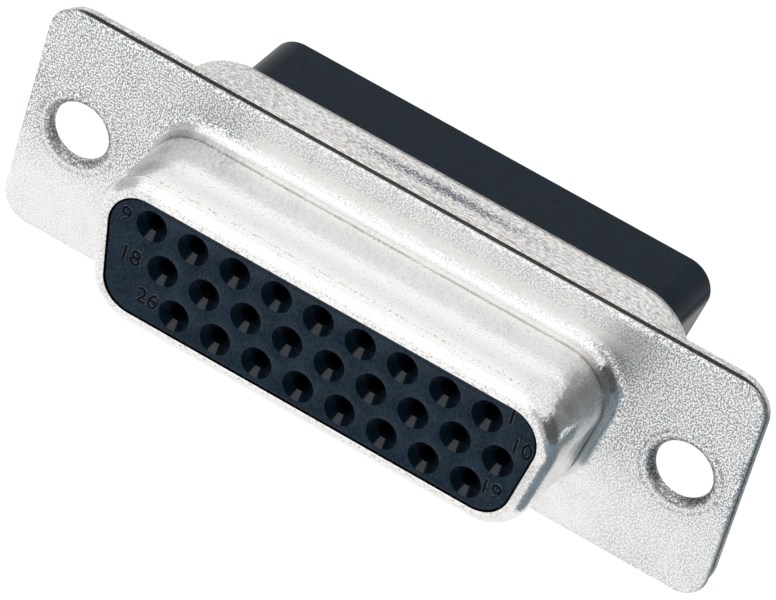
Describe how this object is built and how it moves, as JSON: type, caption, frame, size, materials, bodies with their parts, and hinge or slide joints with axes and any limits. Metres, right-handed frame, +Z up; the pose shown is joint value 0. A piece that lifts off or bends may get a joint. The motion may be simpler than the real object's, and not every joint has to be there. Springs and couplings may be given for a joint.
{
  "type": "high-density d-shaped crimp connector",
  "caption": "Female D-shaped cable connector with a tinned steel shell on a two-hole flange, and crimp socket contacts recessed in dark insulators.",
  "frame": {"origin": "middle of the flange's front face, half way between the centres of the two mounting holes", "axes": "+X along the flange, to the right when the mating face is looked at; -Y out of the mating face and +Y towards the wires; +Z up, on the wide side of the D"},
  "size_m": [0.0392, 0.016, 0.0126],
  "materials": {
    "tinned_shell": "tin plate on drawn steel, finely mottled on the flats and smoother on the drawn walls",
    "insulator": "moulded glass-filled thermoplastic, blue-black, satin",
    "contact": "copper alloy strip with a thin gold plate"
  },
  "bodies": {
    "root": {"front_shell": "tinned_shell", "rear_shell": "tinned_shell", "front_insulator": "insulator", "rear_insulator": "insulator", "socket_contact_01": "contact", "socket_contact_02": "contact", "socket_contact_03": "contact", "socket_contact_04": "contact", "socket_contact_05": "contact", "socket_contact_06": "contact", "socket_contact_07": "contact", "socket_contact_08": "contact", "socket_contact_09": "contact", "socket_contact_10": "contact", "socket_contact_11": "contact", "socket_contact_12": "contact", "socket_contact_13": "contact", "socket_contact_14": "contact", "socket_contact_15": "contact", "socket_contact_16": "contact", "socket_contact_17": "contact", "socket_contact_18": "contact", "socket_contact_19": "contact", "socket_contact_20": "contact", "socket_contact_21": "contact", "socket_contact_22": "contact", "socket_contact_23": "contact", "socket_contact_24": "contact", "socket_contact_25": "contact", "socket_contact_26": "contact"}
  },
  "joints": []
}
